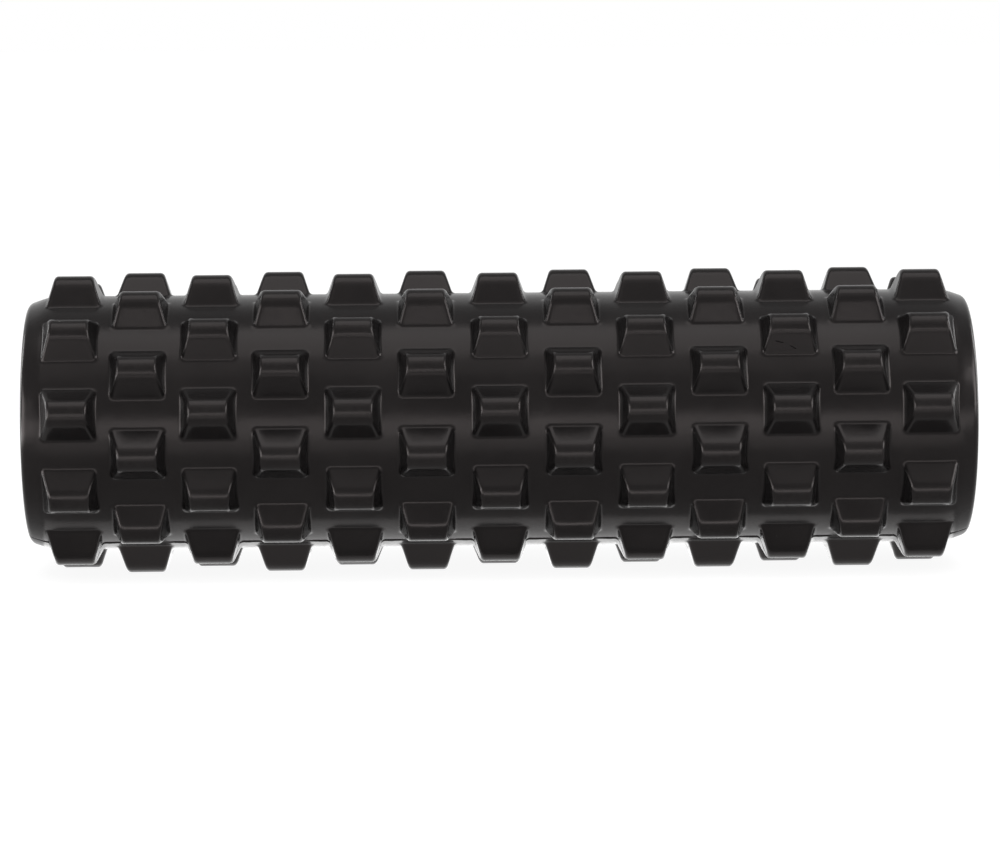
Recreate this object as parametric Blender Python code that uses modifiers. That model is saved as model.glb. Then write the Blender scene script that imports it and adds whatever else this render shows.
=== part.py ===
"""Hollow massage roller: a moulded foam sleeve with rings of raised nubs, on a rigid core tube.

The roller lies along X with its middle at the origin, +Z up and its front towards -Y.
Neighbouring rings are turned against each other by half a nub spacing, so a nub of each
points almost straight down, a quarter of the spacing to either side. The roller rests
on those two rows of nubs.
"""

import math

import bmesh
import bpy
from mathutils import Matrix, Vector

# Driving dimensions of the sleeve, in metres
SLEEVE_LENGTH = 0.450
BODY_RADIUS = 0.0612
NUB_HEIGHT = 0.0108

# The shoulder slopes down towards each end and turns over a small round edge
SHOULDER_LENGTH = 0.013
EDGE_RADIUS = 0.003
END_FACE_RADIUS = 0.0552

# Rings of nubs: the spacing is widest in the middle, where the sleeve is stretched over the core
RING_COUNT = 13
NUBS_PER_RING = 10
RING_PITCH_MIDDLE = 0.0345
RING_PITCH_END = 0.0324

# One nub, a pyramid cut off flat: half sizes along the roller and around it
NUB_FOOT_HALF_LENGTH = 0.0135
NUB_TIP_HALF_LENGTH = 0.0089
NUB_FOOT_HALF_ANGLE = math.radians(11.8)
NUB_TIP_HALF_ANGLE = math.radians(3.6)
NUB_EDGE_ROUNDING = 0.0018
NUB_ROOT_RADIUS = 0.056

# Core tube, in metres
CORE_RADIUS = 0.050
CORE_WALL = 0.004
CORE_RECESS = 0.001
CORE_EDGE_BREAK = 0.0006

# Gap between pieces that touch, filled by glue on the real roller
GLUE_GAP = 0.0003

FACETS_AROUND = 60
EDGE_ARC_STEPS = 3
MERGE_DISTANCE = 0.00001

FOAM_BLACK = (0.014, 0.014, 0.015, 1.0)
CORE_GREY = (0.030, 0.030, 0.032, 1.0)


def clear_scene():
    """Start from an empty scene."""
    for scene_object in list(bpy.data.objects):
        bpy.data.objects.remove(scene_object, do_unlink=True)


def new_collection(name):
    """Add a collection to the scene."""
    collection = bpy.data.collections.new(name)
    bpy.context.scene.collection.children.link(collection)
    return collection


def new_material(name, colour, roughness):
    """Plain moulded material with a Principled shader."""
    material = bpy.data.materials.new(name)
    material.use_nodes = True
    shader = material.node_tree.nodes["Principled BSDF"]
    shader.inputs["Base Color"].default_value = colour
    shader.inputs["Roughness"].default_value = roughness
    shader.inputs["Metallic"].default_value = 0.0
    return material


def new_object(name, mesh, collection):
    """Put a mesh in the scene as a named object."""
    scene_object = bpy.data.objects.new(name, mesh)
    collection.objects.link(scene_object)
    return scene_object


def turned_piece(name, profile, collection):
    """Turn a closed profile of (distance along X, radius) points about the X axis."""
    mesh = bpy.data.meshes.new(name)
    points = [(along, radius, 0.0) for along, radius in profile]
    edges = [(index, (index + 1) % len(points)) for index in range(len(points))]
    mesh.from_pydata(points, edges, [])
    piece = new_object(name, mesh, collection)
    screw = piece.modifiers.new("Turn", "SCREW")
    screw.axis = "X"
    screw.angle = math.tau
    screw.steps = FACETS_AROUND
    screw.render_steps = FACETS_AROUND
    screw.use_merge_vertices = True
    screw.merge_threshold = MERGE_DISTANCE
    screw.use_smooth_shade = False
    return piece


def shoulder_profile():
    """Outer side of one sleeve end, from the body to the end face, as (inset, radius) points."""
    arc_radius = END_FACE_RADIUS
    rise = BODY_RADIUS - arc_radius
    run = SHOULDER_LENGTH - EDGE_RADIUS
    slope_angle = math.acos(EDGE_RADIUS / math.hypot(rise, run)) - math.atan2(run, rise)
    points = [(SHOULDER_LENGTH, BODY_RADIUS)]
    for step in range(EDGE_ARC_STEPS + 1):
        angle = slope_angle + (math.pi / 2 - slope_angle) * step / EDGE_ARC_STEPS
        inset = EDGE_RADIUS * (1 - math.sin(angle))
        points.append((inset, arc_radius + EDGE_RADIUS * math.cos(angle)))
    return points


def sleeve_profile():
    """Closed outline of the sleeve wall: outer side from right to left, then the bore back again."""
    half_length = SLEEVE_LENGTH / 2
    bore_radius = CORE_RADIUS + GLUE_GAP
    shoulder = shoulder_profile()
    right = [(half_length - inset, radius) for inset, radius in reversed(shoulder)]
    left = [(inset - half_length, radius) for inset, radius in shoulder]
    bore = [(-half_length, bore_radius), (half_length, bore_radius)]
    return right + left + bore


def core_profile():
    """Closed outline of the tube wall, with its sharp edges taken off."""
    half_length = SLEEVE_LENGTH / 2 - CORE_RECESS
    inner_radius = CORE_RADIUS - CORE_WALL
    near_end = half_length - CORE_EDGE_BREAK
    face_radii = (CORE_RADIUS - CORE_EDGE_BREAK, inner_radius + CORE_EDGE_BREAK)
    outer = [(near_end, CORE_RADIUS), (-near_end, CORE_RADIUS)]
    left_face = [(-half_length, radius) for radius in face_radii]
    inner = [(-near_end, inner_radius), (near_end, inner_radius)]
    right_face = [(half_length, radius) for radius in reversed(face_radii)]
    return outer + left_face + inner + right_face


def ring_positions():
    """Ring centres along X, the spacing easing off from the middle to the ends."""
    outermost = RING_COUNT // 2
    easing = (RING_PITCH_MIDDLE - RING_PITCH_END) / (outermost**3 - (outermost - 1) ** 3)
    return [index * RING_PITCH_MIDDLE - index**3 * easing for index in range(-outermost, outermost + 1)]


def nub_half_sizes(distance):
    """Half length and half width of a nub at a distance from the roller's axis, on its straight flanks."""
    tip_radius = BODY_RADIUS + NUB_HEIGHT
    length_slope = (NUB_FOOT_HALF_LENGTH - NUB_TIP_HALF_LENGTH) / NUB_HEIGHT
    foot_distance = BODY_RADIUS * math.cos(NUB_FOOT_HALF_ANGLE)
    foot_half_width = BODY_RADIUS * math.sin(NUB_FOOT_HALF_ANGLE)
    tip_half_width = tip_radius * math.sin(NUB_TIP_HALF_ANGLE)
    width_slope = (foot_half_width - tip_half_width) / (tip_radius - foot_distance)
    depth = tip_radius - distance
    return NUB_TIP_HALF_LENGTH + depth * length_slope, tip_half_width + depth * width_slope


def nub_mesh():
    """One nub pointing along +Z, its root sunk into the body and its upper edges rounded."""
    tip_radius = BODY_RADIUS + NUB_HEIGHT
    shape = bmesh.new()
    bmesh.ops.create_cube(shape, size=2.0)
    for vertex in shape.verts:
        distance = tip_radius if vertex.co.z > 0 else NUB_ROOT_RADIUS
        half_length, half_width = nub_half_sizes(distance)
        vertex.co = Vector((vertex.co.x * half_length, vertex.co.y * half_width, distance))
    above_root = (tip_radius + NUB_ROOT_RADIUS) / 2
    rounded = [edge for edge in shape.edges if max(vertex.co.z for vertex in edge.verts) > above_root]
    bmesh.ops.bevel(
        shape,
        geom=rounded,
        offset=NUB_EDGE_ROUNDING,
        segments=1,
        affect="EDGES",
        clamp_overlap=True,
    )
    mesh = bpy.data.meshes.new("nub")
    shape.to_mesh(mesh)
    shape.free()
    return mesh


def nub_field(collection):
    """All the nubs as one joining shape, ring by ring."""
    nub = nub_mesh()
    spacing = math.tau / NUBS_PER_RING
    field = bmesh.new()
    for ring, along in enumerate(ring_positions()):
        first_angle = spacing / 4 if ring % 2 == 0 else -spacing / 4
        for index in range(NUBS_PER_RING):
            first_new = len(field.verts)
            field.from_mesh(nub)
            field.verts.ensure_lookup_table()
            turn = Matrix.Rotation(first_angle + index * spacing, 4, "X")
            place = Matrix.Translation((along, 0.0, 0.0)) @ turn
            bmesh.ops.transform(field, matrix=place, verts=field.verts[first_new:])
    mesh = bpy.data.meshes.new("nub_field")
    field.to_mesh(mesh)
    field.free()
    bpy.data.meshes.remove(nub)
    joining_shape = new_object("nub_field", mesh, collection)
    joining_shape.hide_render = True
    joining_shape.display_type = "WIRE"
    return joining_shape


def foam_sleeve(parts, joining_shapes):
    """One moulding: the turned body with every nub united to it."""
    sleeve = turned_piece("foam_sleeve", sleeve_profile(), parts)
    sleeve.data.materials.append(new_material("black_foam", FOAM_BLACK, 0.5))
    join = sleeve.modifiers.new("Nubs", "BOOLEAN")
    join.operation = "UNION"
    join.solver = "EXACT"
    join.object = nub_field(joining_shapes)
    return sleeve


def core_tube(parts):
    """Rigid tube glued into the bore of the sleeve."""
    tube = turned_piece("core_tube", core_profile(), parts)
    tube.data.materials.append(new_material("core_plastic", CORE_GREY, 0.4))
    return tube


def main():
    clear_scene()
    parts = new_collection("massage_roller")
    joining_shapes = new_collection("joining_shapes")
    foam_sleeve(parts, joining_shapes)
    core_tube(parts)


main()
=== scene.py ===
"""Looks of the hollow massage roller: the moulded foam sleeve, the core tube, the studio and the camera.

The roller lies along X with its middle at the origin, its front towards -Y and +Z up.
All sizes are in metres unless a name says otherwise.
"""

import math

import bmesh
import bpy
import numpy as np
from mathutils import Matrix, Vector


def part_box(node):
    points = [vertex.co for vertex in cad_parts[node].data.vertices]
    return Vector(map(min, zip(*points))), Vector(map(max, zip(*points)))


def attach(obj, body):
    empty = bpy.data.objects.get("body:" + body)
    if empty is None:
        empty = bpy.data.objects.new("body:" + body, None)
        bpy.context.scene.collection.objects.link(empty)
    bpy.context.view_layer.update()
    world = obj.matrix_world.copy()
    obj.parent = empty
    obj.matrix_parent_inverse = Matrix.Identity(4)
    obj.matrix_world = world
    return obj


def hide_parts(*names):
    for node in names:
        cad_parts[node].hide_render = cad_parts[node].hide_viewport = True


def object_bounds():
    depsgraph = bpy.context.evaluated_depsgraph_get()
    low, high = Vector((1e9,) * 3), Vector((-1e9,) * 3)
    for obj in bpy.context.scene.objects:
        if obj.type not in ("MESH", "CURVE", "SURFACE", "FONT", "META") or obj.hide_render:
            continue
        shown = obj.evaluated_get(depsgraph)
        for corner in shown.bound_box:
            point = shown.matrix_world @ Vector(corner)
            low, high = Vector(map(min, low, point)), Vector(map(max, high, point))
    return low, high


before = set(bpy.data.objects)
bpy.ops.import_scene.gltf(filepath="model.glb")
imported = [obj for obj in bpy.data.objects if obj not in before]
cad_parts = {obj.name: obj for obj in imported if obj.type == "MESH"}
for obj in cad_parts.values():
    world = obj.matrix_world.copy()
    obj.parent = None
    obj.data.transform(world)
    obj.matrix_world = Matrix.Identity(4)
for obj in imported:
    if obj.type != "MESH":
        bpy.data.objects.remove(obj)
cad_low, cad_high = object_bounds()

HALF_LENGTH = cad_high.x
MM_PER_METRE = 1000

# Skin of the sleeve between the nubs, with its shoulders, end faces and bore
BODY_RADIUS = 0.0609
SHOULDER_LENGTH = 0.0106
SHOULDER_BLEND = 0.0014
EDGE_RADIUS = 0.0037
END_FACE_RADIUS = 0.0546
BORE_EDGE_BREAK = 0.0005
GLUE_GAP = 0.0003

# Rings of nubs, spaced a little wider in the middle
RING_COUNT = 13
NUBS_PER_RING = 10
RING_PITCH_MIDDLE = 0.0345
RING_PITCH_END = 0.0324
HALF_SPACING = math.pi / NUBS_PER_RING

# One nub in its own frame: x along the roller, y across, z away from the roller's axis
NUB_TOP = 0.0721
NUB_HALF_LENGTH = 0.00905
END_WALL_SLOPE = 0.325
CROWN_RADIUS = 0.0078
SIDE_WALL_ANGLE = math.radians(58.0)
TIP_EDGE_RADIUS = 0.0023
FOOT_EDGE_RADIUS = 0.002

# Fillet round the foot of a nub, which gets tight between two distances from the end of the sleeve
FOOT_FILLET_RADIUS = 0.0022
OUTER_FILLET_RADIUS = 0.0006
OUTER_FILLET_INSET = 0.0095
INNER_FILLET_INSET = 0.0135

# Seam of the mould, along a row of nubs low on the front and along the row opposite
SEAM_ELEVATION = math.radians(-64.2)
SEAM_GROOVE_HALF_WIDTH = 0.00025
SEAM_GROOVE_DEPTH = 0.0003
SEAM_LIP_HEIGHT = 0.0004
SEAM_LIP_REACH = 0.009
SEAM_INNER_RADIUS = 0.0525
SEAM_CUTS_MM = (-0.25, 0.0, 0.25, 1.5, 3.5, 6.0)

# The lip fades out where the skin is this many lip heights off the radius of the body
SEAM_LIP_FADE = 4

# Core tube
CORE_WALL = 0.004
CORE_EDGE_BREAK = 0.0006

# Mesh of a nub: loops in from the rim of its crown, down its slanting corners and out from its foot
SIDE_STEPS = 12
CORNER_STEPS = 2
TIP_CORNER_RADIUS = 0.0012
FOOT_CORNER_RADIUS = 0.003
TIP_INSETS = (0.002, 0.0015, 0.00105, 0.00065, 0.0003)
TIP_INSET_ASPECT = 0.5
RIDGE_DROPS_MM = (1.0, 1.7, 2.5, 3.4, 4.4, 5.4, 6.5, 7.6, 8.6, 9.4, 10.1, 10.7, 11.3, 11.9)
FOOT_OFFSETS = (0.0003, 0.0007, 0.0012, 0.0017, 0.0023)
VALLEY_STEPS = 5

# Mesh of the turned surfaces
EDGE_ARC_STEPS = 8
CORE_STEPS = 160
CORE_SHARP_ANGLE = math.radians(40)
MERGE_DISTANCE = 0.000002

# Search for the height of the skin
SEARCH_STEPS = 36
SEARCH_MARGIN = 0.0005
SLOPE_STEP = 0.00001
COSINE_LIMIT = 0.99


def filleted(first, second, radius, cosine):
    """Distance to two surfaces joined by a hollow round.

    It is worked out from the distance to each surface and the cosine between their normals.
    """
    reach_first = radius - first
    reach_second = radius - second
    span = reach_first**2 + reach_second**2 - 2 * reach_first * reach_second * cosine
    round_part = radius - np.sqrt(np.maximum(span, 0.0) / (1 - cosine**2))
    between = (reach_first > reach_second * cosine) & (reach_second > reach_first * cosine)
    return np.where(between, round_part, np.minimum(first, second))


def shoulder_line():
    """Start of the sloping shoulder at the round edge: its inset, radius, slope and angle."""
    rise = BODY_RADIUS - END_FACE_RADIUS
    run = SHOULDER_LENGTH - EDGE_RADIUS
    angle = math.acos(EDGE_RADIUS / math.hypot(rise, run)) - math.atan2(run, rise)
    inset = EDGE_RADIUS * (1 - math.sin(angle))
    radius = END_FACE_RADIUS + EDGE_RADIUS * math.cos(angle)
    return inset, radius, math.tan(angle), angle


SHOULDER_INSET, SHOULDER_RADIUS, SHOULDER_SLOPE, SHOULDER_ANGLE = shoulder_line()


def skin_radius(x):
    """Radius of the skin between the nubs, the shoulder running smoothly into the body."""
    slope = SHOULDER_RADIUS + (HALF_LENGTH - abs(x) - SHOULDER_INSET) * SHOULDER_SLOPE
    near = np.maximum(SHOULDER_BLEND - abs(slope - BODY_RADIUS), 0.0)
    return np.minimum(slope, BODY_RADIUS) - near * near / (4 * SHOULDER_BLEND)


def foot_fillet(x):
    """Radius of the fillet round a nub's foot, tight where the foot stands over the shoulder."""
    share = (HALF_LENGTH - abs(x) - OUTER_FILLET_INSET) / (INNER_FILLET_INSET - OUTER_FILLET_INSET)
    return OUTER_FILLET_RADIUS + np.clip(share, 0.0, 1.0) * (FOOT_FILLET_RADIUS - OUTER_FILLET_RADIUS)


def nub_distance(along, across, height):
    """Distance to a nub: a round crown on two side walls, cut off by two end walls, with round edges."""
    over_crown = height - (NUB_TOP - CROWN_RADIUS)
    lean = np.minimum(np.arctan2(abs(across), over_crown), SIDE_WALL_ANGLE)
    side = abs(across) * np.sin(lean) + over_crown * np.cos(lean) - CROWN_RADIUS
    wall_scale = 1 / math.hypot(1, END_WALL_SLOPE)
    end = (abs(along) - NUB_HALF_LENGTH - (NUB_TOP - height) * END_WALL_SLOPE) * wall_scale
    share = np.clip((NUB_TOP - height) / (NUB_TOP - BODY_RADIUS), 0.0, 1.0)
    radius = TIP_EDGE_RADIUS + share * (FOOT_EDGE_RADIUS - TIP_EDGE_RADIUS)
    return -filleted(-side, -end, radius, END_WALL_SLOPE * wall_scale * np.cos(lean))


def skin_distance(x, along, across, height):
    """Distance to the finished skin, with a fillet round the foot of the nub."""
    step = SLOPE_STEP
    nub = nub_distance(along, across, height)
    lean_along = nub_distance(along + step, across, height) - nub_distance(along - step, across, height)
    lean_across = nub_distance(along, across + step, height) - nub_distance(along, across - step, height)
    lean_up = nub_distance(along, across, height + step) - nub_distance(along, across, height - step)
    lean = np.sqrt(lean_along**2 + lean_across**2 + lean_up**2)
    radius = np.sqrt(height**2 + across**2)
    cosine = np.clip((lean_across * across + lean_up * height) / (radius * lean), -COSINE_LIMIT, COSINE_LIMIT)
    return filleted(nub, radius - skin_radius(x), foot_fillet(x), cosine)


def skin_height(x, along, across):
    """Height of the finished skin in a nub's own frame, found by halving."""
    low = np.sqrt(skin_radius(x) ** 2 - across**2) - SEARCH_MARGIN
    high = np.full_like(low, NUB_TOP + SEARCH_MARGIN)
    for _ in range(SEARCH_STEPS):
        middle = (low + high) / 2
        under = skin_distance(x, along, across, middle) < 0
        low = np.where(under, middle, low)
        high = np.where(under, high, middle)
    return (low + high) / 2


def ring_positions():
    """Ring centres along X, the spacing easing off from the middle to the ends."""
    outermost = RING_COUNT // 2
    easing = (RING_PITCH_MIDDLE - RING_PITCH_END) / (outermost**3 - (outermost - 1) ** 3)
    return [index * RING_PITCH_MIDDLE - index**3 * easing for index in range(-outermost, outermost + 1)]


def corner_point(half_run, half_offset, corner, share):
    """Point (run, offset) on a rounded corner, from the end of the side at 0 to the corner's middle at 1."""
    angle = math.pi / 4 * share
    return half_run - corner + corner * math.sin(angle), half_offset - corner * (1 - math.cos(angle))


def rounded_side(half_run, half_offset, corner):
    """One side of a rounded rectangle as (run, offset) points, from the middle of a corner to the next."""
    points = []
    for step in range(CORNER_STEPS):
        run, offset = corner_point(half_run, half_offset, corner, 1 - step / CORNER_STEPS)
        points.append((-run, offset))
    straight_steps = SIDE_STEPS - 2 * CORNER_STEPS
    for step in range(straight_steps + 1):
        points.append(((half_run - corner) * (2 * step / straight_steps - 1), half_offset))
    for step in range(1, CORNER_STEPS):
        points.append(corner_point(half_run, half_offset, corner, step / CORNER_STEPS))
    return points


def rounded_loop(half_length, half_width, corner):
    """Rounded rectangle round a nub's middle, as (along, across) points."""
    long_side = rounded_side(half_length, half_width, corner)
    short_side = rounded_side(half_width, half_length, corner)
    loop = [(run, -offset) for run, offset in long_side]
    loop += [(offset, run) for run, offset in short_side]
    loop += [(-run, offset) for run, offset in long_side]
    loop += [(-offset, -run) for run, offset in short_side]
    return loop


def cell_border(centre, left, right):
    """Border of the patch of skin that one nub stands on, as (along, across) points."""
    steps = [step / SIDE_STEPS for step in range(SIDE_STEPS)]
    forth = [left + (right - left) * step for step in steps]
    back = [left + right - x for x in forth]
    turns = [HALF_SPACING * (2 * step - 1) for step in steps]
    border = [(x - centre, -skin_radius(x) * math.sin(HALF_SPACING)) for x in forth]
    border += [(right - centre, skin_radius(right) * math.sin(turn)) for turn in turns]
    border += [(x - centre, skin_radius(x) * math.sin(HALF_SPACING)) for x in back]
    border += [(left - centre, -skin_radius(left) * math.sin(turn)) for turn in turns]
    return border


def ridge_point(drop):
    """Plan position of a nub's slanting corner where it is this far below the crest."""
    along = NUB_HALF_LENGTH + drop * END_WALL_SLOPE
    crown_drop = CROWN_RADIUS * (1 - math.cos(SIDE_WALL_ANGLE))
    if drop < crown_drop:
        return along, math.sqrt(2 * CROWN_RADIUS * drop - drop**2)
    return along, CROWN_RADIUS * math.sin(SIDE_WALL_ANGLE) + (drop - crown_drop) / math.tan(SIDE_WALL_ANGLE)


def nub_loops(centre, left, right):
    """Loops of (along, across) points from the top of a nub out to the border of its patch."""
    sizes = []
    along, across = ridge_point(RIDGE_DROPS_MM[0] / MM_PER_METRE)
    for inset in TIP_INSETS:
        sizes.append((along - inset, across - inset * TIP_INSET_ASPECT, 0.0))
    for drop in RIDGE_DROPS_MM:
        sizes.append((*ridge_point(drop / MM_PER_METRE), drop / RIDGE_DROPS_MM[-1]))
    along, across = ridge_point(RIDGE_DROPS_MM[-1] / MM_PER_METRE)
    for offset in FOOT_OFFSETS:
        sizes.append((along + offset, across + offset, 1.0))
    loops = []
    for half_length, half_width, share in sizes:
        corner = TIP_CORNER_RADIUS + share * (FOOT_CORNER_RADIUS - TIP_CORNER_RADIUS)
        loops.append(rounded_loop(half_length, half_width, corner))
    border = cell_border(centre, left, right)
    foot = loops[-1]
    for step in range(1, VALLEY_STEPS + 1):
        share = step / VALLEY_STEPS
        loops.append([
            (inner[0] + (outer[0] - inner[0]) * share, inner[1] + (outer[1] - inner[1]) * share)
            for inner, outer in zip(foot, border)
        ])
    return loops


def top_grid(loop):
    """Rows of points that fill a loop, blended between its four sides."""
    count = SIDE_STEPS
    bottom = loop[: count + 1]
    right = loop[count : 2 * count + 1]
    top = list(reversed(loop[2 * count : 3 * count + 1]))
    left = list(reversed(loop[3 * count :] + loop[:1]))
    rows = []
    for row in range(count + 1):
        v = row / count
        points = []
        for column in range(count + 1):
            u = column / count
            point = []
            for axis in range(2):
                sides = (1 - v) * bottom[column][axis] + v * top[column][axis]
                sides += (1 - u) * left[row][axis] + u * right[row][axis]
                corners = (1 - u) * (1 - v) * bottom[0][axis] + u * (1 - v) * bottom[count][axis]
                corners += (1 - u) * v * top[0][axis] + u * v * top[count][axis]
                point.append(sides - corners)
            points.append(tuple(point))
        rows.append(points)
    return rows


def patch_mesh(centre, left, right):
    """One nub with its patch of skin, in the nub's own frame, as (points, faces)."""
    plan = []
    faces = []

    def place(along, across):
        plan.append((along, across))
        return len(plan) - 1

    loops = nub_loops(centre, left, right)
    grid = [[place(*point) for point in row] for row in top_grid(loops[0])]
    for lower, upper in zip(grid, grid[1:]):
        for column in range(SIDE_STEPS):
            faces.append((lower[column], lower[column + 1], upper[column + 1], upper[column]))
    inner = grid[0][:-1] + [row[-1] for row in grid[:-1]]
    inner += list(reversed(grid[-1][1:])) + [row[0] for row in reversed(grid[1:])]
    for loop in loops[1:]:
        outer = [place(*point) for point in loop]
        for index in range(len(outer)):
            after = (index + 1) % len(outer)
            faces.append((inner[index], outer[index], outer[after], inner[after]))
        inner = outer
    along, across = np.array(plan).T
    height = skin_height(centre + along, along, across)
    points = [Vector(point) for point in zip(centre + along, across, height)]
    return points, faces


def end_profile(bore_radius):
    """Profile of one sleeve end from the shoulder round to the bore, as (inset, radius) points."""
    profile = []
    for step in range(EDGE_ARC_STEPS + 1):
        angle = SHOULDER_ANGLE + (math.pi / 2 - SHOULDER_ANGLE) * step / EDGE_ARC_STEPS
        inset = EDGE_RADIUS * (1 - math.sin(angle))
        profile.append((inset, END_FACE_RADIUS + EDGE_RADIUS * math.cos(angle)))
    profile.append((0.0, (END_FACE_RADIUS + bore_radius) / 2))
    profile.append((0.0, bore_radius + BORE_EDGE_BREAK))
    profile.append((BORE_EDGE_BREAK, bore_radius))
    return profile


def add_turned(mesh, profile, steps):
    """Add a surface turned about X from (x, radius) points to a bmesh."""
    turns = [math.tau * step / steps for step in range(steps)]
    rings = []
    for x, radius in profile:
        points = [(x, -radius * math.sin(turn), radius * math.cos(turn)) for turn in turns]
        rings.append([mesh.verts.new(point) for point in points])
    for first, second in zip(rings, rings[1:]):
        for index in range(steps):
            after = (index + 1) % steps
            mesh.faces.new((first[index], second[index], second[after], first[after]))


def shaded_object(name, mesh):
    """Close a bmesh into a smooth shaded object."""
    bmesh.ops.remove_doubles(mesh, verts=mesh.verts, dist=MERGE_DISTANCE)
    bmesh.ops.recalc_face_normals(mesh, faces=mesh.faces)
    data = bpy.data.meshes.new(name)
    mesh.to_mesh(data)
    mesh.free()
    data.shade_smooth()
    piece = bpy.data.objects.new(name, data)
    bpy.context.scene.collection.objects.link(piece)
    return piece


def cut_seam(mesh, elevation):
    """Cut the mould seam along one side: a fine groove with a low lip under it that fades away."""
    out = Vector((0.0, -math.cos(elevation), math.sin(elevation)))
    down = Vector((0.0, -math.sin(elevation), -math.cos(elevation)))

    def near(vert):
        return vert.co.dot(out) > SEAM_INNER_RADIUS and abs(vert.co.dot(down)) < SEAM_LIP_REACH

    for cut in SEAM_CUTS_MM:
        faces = [face for face in mesh.faces if any(near(vert) for vert in face.verts)]
        edges = {edge for face in faces for edge in face.edges}
        verts = {vert for face in faces for vert in face.verts}
        bmesh.ops.bisect_plane(
            mesh,
            geom=faces + list(edges) + list(verts),
            dist=MERGE_DISTANCE,
            plane_co=down * (cut / MM_PER_METRE),
            plane_no=down,
        )
    for vert in mesh.verts:
        if not near(vert):
            continue
        below = vert.co.dot(down)
        radius = math.hypot(vert.co.y, vert.co.z)
        on_body = max(0.0, 1 - abs(radius - BODY_RADIUS) / SEAM_LIP_HEIGHT / SEAM_LIP_FADE)
        lift = -SEAM_GROOVE_DEPTH * max(0.0, 1 - abs(below) / SEAM_GROOVE_HALF_WIDTH)
        if below > 0:
            lift += SEAM_LIP_HEIGHT * on_body * (1 - below / SEAM_LIP_REACH) ** 2
        vert.co += out * lift


def foam_skin():
    """The whole moulded sleeve as one closed mesh: patches with nubs, both ends, the bore and the seams."""
    mesh = bmesh.new()
    centres = ring_positions()
    border = HALF_LENGTH - SHOULDER_INSET
    between = [(left + right) / 2 for left, right in zip(centres, centres[1:])]
    limits = [-border, *between, border]
    for ring, centre in enumerate(centres):
        points, faces = patch_mesh(centre, limits[ring], limits[ring + 1])
        first_angle = HALF_SPACING / 2 if ring % 2 == 0 else -HALF_SPACING / 2
        for index in range(NUBS_PER_RING):
            turn = Matrix.Rotation(first_angle + index * 2 * HALF_SPACING, 3, "X")
            verts = [mesh.verts.new(turn @ point) for point in points]
            for face in faces:
                mesh.faces.new([verts[corner] for corner in face])
    bore_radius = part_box("core_tube")[1].z + GLUE_GAP
    right_end = [(HALF_LENGTH - inset, radius) for inset, radius in end_profile(bore_radius)]
    left_end = [(-x, radius) for x, radius in reversed(right_end)]
    add_turned(mesh, right_end + left_end, NUBS_PER_RING * SIDE_STEPS)
    bmesh.ops.remove_doubles(mesh, verts=mesh.verts, dist=MERGE_DISTANCE)
    for elevation in (SEAM_ELEVATION, SEAM_ELEVATION + math.pi):
        cut_seam(mesh, elevation)
    return shaded_object("foam_skin", mesh)


def core_wall():
    """The plastic tube, finely turned, with the sharp edges of its sawn ends taken off."""
    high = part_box("core_tube")[1]
    outer = high.z
    inner = outer - CORE_WALL
    edge = CORE_EDGE_BREAK
    right_end = [
        (high.x - edge, outer),
        (high.x, outer - edge),
        (high.x, inner + edge),
        (high.x - edge, inner),
    ]
    left_end = [(-x, radius) for x, radius in reversed(right_end)]
    mesh = bmesh.new()
    add_turned(mesh, right_end + left_end + right_end[:1], CORE_STEPS)
    piece = shaded_object("core_wall", mesh)
    piece.data.set_sharp_from_angle(angle=CORE_SHARP_ANGLE)
    return piece


def noise(tree, vector, scale, detail):
    """Noise texture node fed with a vector."""
    node = tree.nodes.new("ShaderNodeTexNoise")
    node.inputs["Scale"].default_value = scale
    node.inputs["Detail"].default_value = detail
    tree.links.new(vector, node.inputs["Vector"])
    return node.outputs["Fac"]


def mapped(tree, value, low, high, to_low, to_high):
    """Map a value's range onto another, clamped."""
    node = tree.nodes.new("ShaderNodeMapRange")
    node.inputs["From Min"].default_value = low
    node.inputs["From Max"].default_value = high
    node.inputs["To Min"].default_value = to_low
    node.inputs["To Max"].default_value = to_high
    tree.links.new(value, node.inputs["Value"])
    return node.outputs["Result"]


def mixed(tree, factor, first, second):
    """Mix two colours by a factor; each colour is a value or a socket."""
    node = tree.nodes.new("ShaderNodeMix")
    node.data_type = "RGBA"
    tree.links.new(factor, node.inputs["Factor"])
    for name, colour in (("A", first), ("B", second)):
        socket = next(s for s in node.inputs if s.name == name and s.type == "RGBA")
        if isinstance(colour, tuple):
            socket.default_value = colour
        else:
            tree.links.new(colour, socket)
    return next(s for s in node.outputs if s.type == "RGBA")


def bump(tree, height, distance, strength, normal=None):
    """Bump node from a height value."""
    node = tree.nodes.new("ShaderNodeBump")
    node.inputs["Strength"].default_value = strength
    node.inputs["Distance"].default_value = distance
    tree.links.new(height, node.inputs["Height"])
    if normal is not None:
        tree.links.new(normal, node.inputs["Normal"])
    return node.outputs["Normal"]


def maths(tree, operation, *values):
    """Maths node; each value is a number or a socket."""
    node = tree.nodes.new("ShaderNodeMath")
    node.operation = operation
    for socket, value in zip(node.inputs, values):
        if isinstance(value, (int, float)):
            socket.default_value = value
        else:
            tree.links.new(value, socket)
    return node.outputs[0]


# Foam, with each noise as (scale, detail) and each relief as (depth, strength)
FOAM_DARK = (0.0092, 0.0083, 0.0084, 1.0)
FOAM_PALE = (0.0116, 0.0105, 0.0105, 1.0)
MOTTLING_NOISE = (30.0, 3.0)
MOTTLING_RANGE = (0.35, 0.65)
FOAM_IOR = 1.2
FOAM_SHEEN = (1.0, 0.90, 0.885, 1.0)
FOAM_ROUGHNESS = (0.17, 0.25)
ROUGHNESS_NOISE = (60.0, 5.0)
ROUGHNESS_RANGE = (0.3, 0.7)

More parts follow.
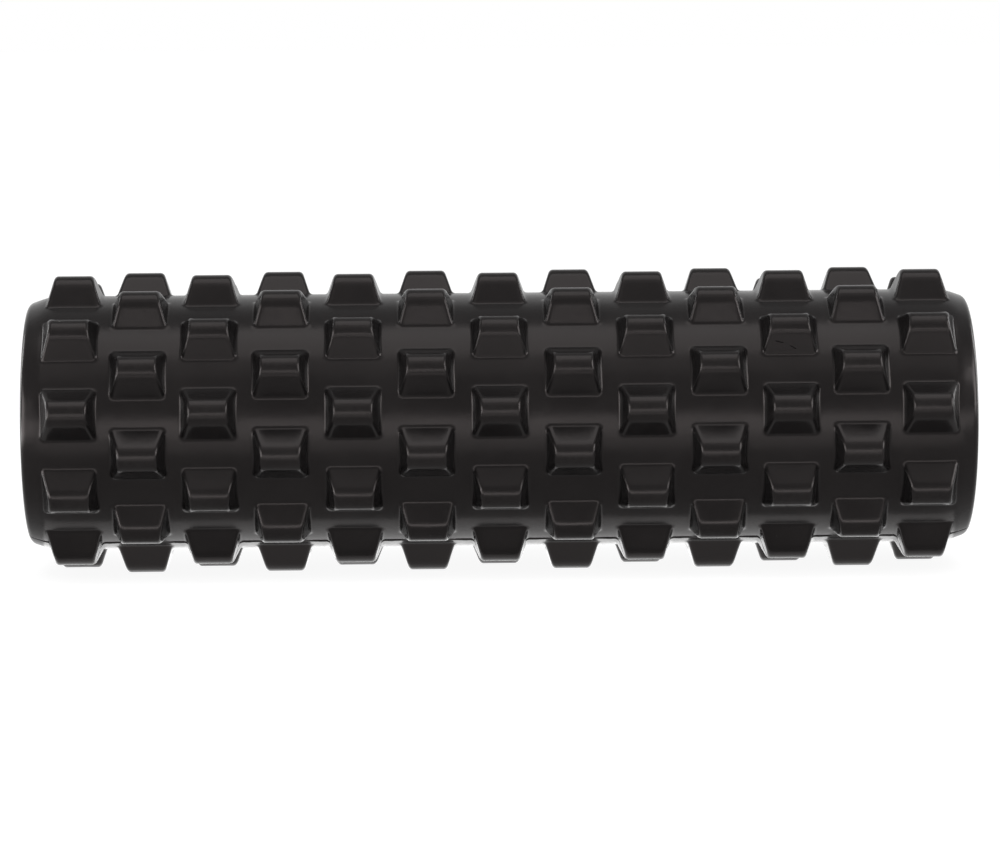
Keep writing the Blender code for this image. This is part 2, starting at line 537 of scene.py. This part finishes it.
# Fine grain and soft ripples of its moulded skin
GRAIN_NOISE = (2600.0, 2.0)
GRAIN_RELIEF = (0.00004, 0.5)
RIPPLE_NOISE = (260.0, 2.0)
RIPPLE_RELIEF = (0.0001, 0.35)

# Tips of the nubs, rubbed paler in patches
RUBBED_COLOUR = (0.0170, 0.0157, 0.0155, 1.0)
RUBBED_DEPTH = 0.0009
RUBBED_NOISE = (420.0, 3.0)
RUBBED_RANGE = (0.4, 0.65)
RUBBED_SHARE = 0.4
RUBBED_ROUGHNESS = 0.05

# Dust specks: the foam is split into cells, and this share of them may hold a speck, sized in cells
DUST_COLOUR = (0.22, 0.21, 0.20, 1.0)
DUST_CELLS_PER_METRE = 160.0
DUST_SHARE = 0.04
DUST_SIZE = 0.035
DUST_ROUGHNESS = 0.4

# Scratch in two strokes on one nub, each between two (along, across) points in millimetres
SCRATCHED_RING = 10
SCRATCHED_TURN = math.radians(45.0)
SCRATCHES_MM = (((-6.9, -8.35), (-3.0, -8.85)), ((-0.1, -9.6), (3.0, -10.5)))
SCRATCH_HALF_WIDTH = 0.00022
SCRATCH_RELIEF = (0.0002, 1.0)
SCRATCH_TAPER = 0.1
SCRATCH_COLOUR = (0.0, 0.0, 0.0, 1.0)
SCRATCH_ROUGHNESS = 0.5


def distance_from_axis(tree, place):
    """Distance of a place from the roller's axis."""
    split = tree.nodes.new("ShaderNodeSeparateXYZ")
    tree.links.new(place, split.inputs["Vector"])
    squares = [maths(tree, "MULTIPLY", split.outputs[axis], split.outputs[axis]) for axis in ("Y", "Z")]
    return maths(tree, "SQRT", maths(tree, "ADD", *squares))


def rubbed_tips(tree, place):
    """Mask of the paler patches on the tips of the nubs."""
    height = mapped(tree, distance_from_axis(tree, place), NUB_TOP - RUBBED_DEPTH, NUB_TOP, 0.0, 1.0)
    patches = mapped(tree, noise(tree, place, *RUBBED_NOISE), *RUBBED_RANGE, 0.0, RUBBED_SHARE)
    return maths(tree, "MULTIPLY", height, patches)


def specks(tree, place):
    """Mask of sparse dust specks."""
    node = tree.nodes.new("ShaderNodeTexVoronoi")
    node.inputs["Scale"].default_value = DUST_CELLS_PER_METRE
    tree.links.new(place, node.inputs["Vector"])
    split = tree.nodes.new("ShaderNodeSeparateColor")
    tree.links.new(node.outputs["Color"], split.inputs["Color"])
    size = mapped(tree, split.outputs["Red"], 1 - DUST_SHARE, 1.0, 0.0, DUST_SIZE)
    return maths(tree, "LESS_THAN", node.outputs["Distance"], size)


def texture_mapping(tree, vector, location, rotation, scale):
    """Place seen from a frame that is moved, turned and scaled like this."""
    node = tree.nodes.new("ShaderNodeMapping")
    node.vector_type = "TEXTURE"
    node.inputs["Location"].default_value = location
    node.inputs["Rotation"].default_value = rotation
    node.inputs["Scale"].default_value = scale
    tree.links.new(vector, node.inputs["Vector"])
    return node.outputs["Vector"]


def scratch(tree, place, start, end):
    """Mask of one straight stroke of the scratch, deepest on its middle line and tapered at its ends."""
    ring_centre = (ring_positions()[SCRATCHED_RING], 0.0, 0.0)
    on_nub = texture_mapping(tree, place, ring_centre, (SCRATCHED_TURN, 0.0, 0.0), (1.0, 1.0, 1.0))
    run = end[0] - start[0]
    rise = end[1] - start[1]
    start_point = (start[0] / MM_PER_METRE, start[1] / MM_PER_METRE, 0.0)
    size = (math.hypot(run, rise) / MM_PER_METRE, SCRATCH_HALF_WIDTH, NUB_TOP)
    on_line = texture_mapping(tree, on_nub, start_point, (0.0, 0.0, math.atan2(rise, run)), size)
    split = tree.nodes.new("ShaderNodeSeparateXYZ")
    tree.links.new(on_line, split.inputs["Vector"])
    beside = maths(tree, "SUBTRACT", 1.0, maths(tree, "ABSOLUTE", split.outputs["Y"]))
    ends = maths(tree, "MULTIPLY", split.outputs["X"], maths(tree, "SUBTRACT", 1.0, split.outputs["X"]))
    taper = mapped(tree, ends, 0.0, SCRATCH_TAPER, 0.0, 1.0)
    outward = maths(tree, "GREATER_THAN", split.outputs["Z"], 0.0)
    depth = maths(tree, "MULTIPLY", maths(tree, "MAXIMUM", beside, 0.0), outward)
    return maths(tree, "MULTIPLY", depth, taper)


def foam_material():
    """Black moulded foam: a satin skin with a fine grain, mottling, paler rubbed tips, dust and a scratch."""
    material = bpy.data.materials.new("moulded_foam")
    material.use_nodes = True
    tree = material.node_tree
    shader = tree.nodes["Principled BSDF"]
    place = tree.nodes.new("ShaderNodeTexCoord").outputs["Object"]
    rubbed = rubbed_tips(tree, place)
    dust = specks(tree, place)
    cut = maths(tree, "MAXIMUM", *[scratch(tree, place, *stroke) for stroke in SCRATCHES_MM])

    mottling = mapped(tree, noise(tree, place, *MOTTLING_NOISE), *MOTTLING_RANGE, 0.0, 1.0)
    colour = mixed(tree, mottling, FOAM_DARK, FOAM_PALE)
    colour = mixed(tree, rubbed, colour, RUBBED_COLOUR)
    colour = mixed(tree, cut, colour, SCRATCH_COLOUR)
    colour = mixed(tree, dust, colour, DUST_COLOUR)
    tree.links.new(colour, shader.inputs["Base Color"])

    rough = mapped(tree, noise(tree, place, *ROUGHNESS_NOISE), *ROUGHNESS_RANGE, *FOAM_ROUGHNESS)
    for mark, added in ((rubbed, RUBBED_ROUGHNESS), (dust, DUST_ROUGHNESS), (cut, SCRATCH_ROUGHNESS)):
        rough = maths(tree, "ADD", rough, maths(tree, "MULTIPLY", mark, added))
    tree.links.new(rough, shader.inputs["Roughness"])

    shader.inputs["IOR"].default_value = FOAM_IOR
    shader.inputs["Specular Tint"].default_value = FOAM_SHEEN
    grain = bump(tree, noise(tree, place, *GRAIN_NOISE), *GRAIN_RELIEF)
    ripple = bump(tree, noise(tree, place, *RIPPLE_NOISE), *RIPPLE_RELIEF, grain)
    groove = bump(tree, maths(tree, "SUBTRACT", 1.0, cut), *SCRATCH_RELIEF, ripple)
    tree.links.new(groove, shader.inputs["Normal"])
    return material


# Plastic of the core tube, with fine lines along it
CORE_DARK = (0.020, 0.020, 0.021, 1.0)
CORE_PALE = (0.028, 0.028, 0.029, 1.0)
CORE_ROUGHNESS = (0.32, 0.45)
CORE_LINE_STRETCH = (2.0, 500.0, 500.0)
CORE_LINE_NOISE = (1.0, 3.0)
CORE_LINE_RANGE = (0.3, 0.7)
CORE_LINE_RELIEF = (0.0001, 0.3)


def core_material():
    """Dark extruded plastic with fine lines along the tube."""
    material = bpy.data.materials.new("core_plastic")
    material.use_nodes = True
    tree = material.node_tree
    shader = tree.nodes["Principled BSDF"]
    place = tree.nodes.new("ShaderNodeTexCoord").outputs["Object"]
    stretch = tree.nodes.new("ShaderNodeMapping")
    stretch.inputs["Scale"].default_value = CORE_LINE_STRETCH
    tree.links.new(place, stretch.inputs["Vector"])
    lines = noise(tree, stretch.outputs["Vector"], *CORE_LINE_NOISE)
    colour = mixed(tree, mapped(tree, lines, *CORE_LINE_RANGE, 0.0, 1.0), CORE_DARK, CORE_PALE)
    tree.links.new(colour, shader.inputs["Base Color"])
    tree.links.new(mapped(tree, lines, *CORE_LINE_RANGE, *CORE_ROUGHNESS), shader.inputs["Roughness"])
    tree.links.new(bump(tree, lines, *CORE_LINE_RELIEF), shader.inputs["Normal"])
    return material


# World: white walls for the view up to one height, a darker ceiling from another, and a soft light
WORLD_LIGHT = 0.55
WALL_TOP = math.radians(43.0)
CEILING_START = math.radians(50.0)
CEILING_BRIGHTNESS = 0.6

# Floor: its colour as it lights the roller, and the colour and glow that the view has of it
FLOOR_HALF_SIZE = 30.0
FLOOR_COLOUR = 0.8
FLOOR_SHOWN = 0.16
FLOOR_GLOW = 0.92

# Lamps: name, brightness, side of the front and elevation in degrees, distance, length and height
SOFT_LAMPS = (
    ("front_box", 1.2, 0, 55, 3.0, 3.5, 0.84),
    ("top_box", 3.4, 0, 81, 3.0, 3.5, 1.83),
)

# Lamps that only show as shine, with the same columns
SHINE_LAMPS = (
    ("front_strip", 4.8, 0, 3, 2.0, 5.4, 0.34),
    ("low_strip", 4.4, 0, -5.1, 0.5, 1.4, 0.048),
    ("floor_strip", 1.6, 0, -12.8, 0.22, 0.7, 0.04),
    ("table_light", 1.6, 0, -90, 0.0708, 0.45, 0.08),
    ("left_box", 11.0, -70, 7, 3.0, 1.9, 1.4),
    ("left_low_strip", 13.0, -80, -3.5, 0.6, 0.5, 0.06),
    ("right_box", 11.0, 74, 20, 3.0, 1.5, 1.8),
    ("left_rim_box", 8.0, -120, 13, 3.0, 0.74, 1.6),
    ("right_rim_box", 8.0, 120, 13, 3.0, 0.74, 1.6),
)

# Camera: the photograph's viewing angle
CAMERA_DISTANCE = 2.023
CAMERA_ELEVATION = math.radians(5.58)
CAMERA_AZIMUTH = math.radians(-0.93)
CAMERA_ROLL = math.radians(0.44)
CAMERA_LENS_MM = 151.0
CAMERA_SENSOR_MM = 36.0
CAMERA_CLIP_END = 100.0
CAMERA_AIM = Vector((0.0008, 0.0, -0.0022))


def white_for_the_view(tree):
    """1 for camera, glossy and transmission rays, else 0."""
    path = tree.nodes.new("ShaderNodeLightPath")
    total = path.outputs["Is Camera Ray"]
    for name in ("Is Glossy Ray", "Is Transmission Ray"):
        total = maths(tree, "MAXIMUM", total, path.outputs[name])
    return total


def studio_world():
    """White walls and a darker ceiling for the view, over a soft even light."""
    world = bpy.data.worlds.new("studio_world")
    world.use_nodes = True
    bpy.context.scene.world = world
    tree = world.node_tree
    background = tree.nodes["Background"]
    background.inputs["Color"].default_value = (1.0, 1.0, 1.0, 1.0)
    split = tree.nodes.new("ShaderNodeSeparateXYZ")
    tree.links.new(tree.nodes.new("ShaderNodeTexCoord").outputs["Generated"], split.inputs["Vector"])
    heights = (math.sin(WALL_TOP), math.sin(CEILING_START))
    walls = mapped(tree, split.outputs["Z"], *heights, 1.0, CEILING_BRIGHTNESS)
    seen = white_for_the_view(tree)
    unseen = maths(tree, "MULTIPLY", maths(tree, "SUBTRACT", 1.0, seen), WORLD_LIGHT)
    tree.links.new(maths(tree, "MULTIPLY_ADD", seen, walls, unseen), background.inputs["Strength"])


def studio_floor(level):
    """Pale matt floor that shows white, with the roller's shadow on it."""
    mesh = bmesh.new()
    bmesh.ops.create_grid(mesh, x_segments=1, y_segments=1, size=FLOOR_HALF_SIZE)
    floor = shaded_object("studio_floor", mesh)
    floor.location.z = level
    material = bpy.data.materials.new("studio_floor")
    material.use_nodes = True
    tree = material.node_tree
    tree.nodes.remove(tree.nodes["Principled BSDF"])
    seen = white_for_the_view(tree)
    matt = tree.nodes.new("ShaderNodeBsdfDiffuse")
    tree.links.new(mapped(tree, seen, 0.0, 1.0, FLOOR_COLOUR, FLOOR_SHOWN), matt.inputs["Color"])
    glow = tree.nodes.new("ShaderNodeEmission")
    tree.links.new(maths(tree, "MULTIPLY", seen, FLOOR_GLOW), glow.inputs["Strength"])
    both = tree.nodes.new("ShaderNodeAddShader")
    tree.links.new(matt.outputs[0], both.inputs[0])
    tree.links.new(glow.outputs[0], both.inputs[1])
    tree.links.new(both.outputs[0], tree.nodes["Material Output"].inputs["Surface"])
    floor.data.materials.append(material)


def direction(side, elevation):
    """Direction from the roller, turned from its front to a side and raised, both in radians."""
    flat = math.cos(elevation)
    return Vector((math.sin(side) * flat, -math.cos(side) * flat, math.sin(elevation)))


def soft_light(name, brightness, side, elevation, distance, length, height, only_shine=False):
    """Rectangular lamp aimed at the roller, turned to a side of its front and raised, both in degrees."""
    data = bpy.data.lights.new(name, "AREA")
    data.shape = "RECTANGLE"
    data.size = length
    data.size_y = height
    data.energy = brightness * math.pi * length * height
    lamp = bpy.data.objects.new(name, data)
    bpy.context.scene.collection.objects.link(lamp)
    out = direction(math.radians(side), math.radians(elevation))
    lamp.location = out * distance
    lamp.rotation_mode = "QUATERNION"
    lamp.rotation_quaternion = out.to_track_quat("Z", "Y")
    lamp.visible_camera = False
    lamp.visible_diffuse = not only_shine


def studio_camera():
    """Long lens in front of the roller, a little above it and slightly rolled."""
    data = bpy.data.cameras.new("camera")
    data.lens = CAMERA_LENS_MM
    data.sensor_width = CAMERA_SENSOR_MM
    data.sensor_fit = "HORIZONTAL"
    data.clip_end = CAMERA_CLIP_END
    camera = bpy.data.objects.new("camera", data)
    bpy.context.scene.collection.objects.link(camera)
    back = direction(CAMERA_AZIMUTH, CAMERA_ELEVATION)
    aimed = back.to_track_quat("Z", "Y").to_matrix()
    roll = Matrix.Rotation(-CAMERA_ROLL, 3, "Z")
    place = Matrix.Translation(CAMERA_AIM + back * CAMERA_DISTANCE)
    camera.matrix_world = place @ (aimed @ roll).to_4x4()
    bpy.context.scene.camera = camera


sleeve = foam_skin()
sleeve.data.materials.append(foam_material())
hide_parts("foam_sleeve")
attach(sleeve, "root")

tube = core_wall()
tube.data.materials.append(core_material())
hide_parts("core_tube")
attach(tube, "root")

shown_low, shown_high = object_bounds()

studio_world()
studio_floor(shown_low.z)
for lamp in SOFT_LAMPS:
    soft_light(*lamp)
for lamp in SHINE_LAMPS:
    soft_light(*lamp, only_shine=True)
studio_camera()

view = bpy.context.scene.view_settings
view.view_transform = "Standard"
